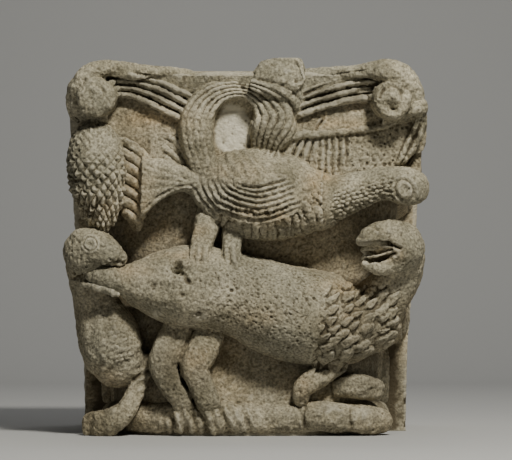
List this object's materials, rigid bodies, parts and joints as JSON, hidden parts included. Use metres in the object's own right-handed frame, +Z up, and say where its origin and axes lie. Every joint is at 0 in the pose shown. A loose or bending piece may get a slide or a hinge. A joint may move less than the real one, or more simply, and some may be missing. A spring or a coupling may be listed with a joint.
{
  "type": "historiated capital",
  "caption": "Carved stone capital of a wall column: large birds in relief under corner scrolls, a pine cone and leaves, flat top bed, underside and back.",
  "frame": {"origin": "middle of the underside, where the capital sits on its column, below the axis of the bell", "axes": "+Z up, -Y out of the carved front, +X to the right of someone who looks at the front"},
  "size_m": [0.3755, 0.3034, 0.38],
  "materials": {
    "limestone": "weathered, tooled and pitted limestone with ochre stains"
  },
  "bodies": {
    "root": {"capital": "limestone"}
  },
  "joints": []
}
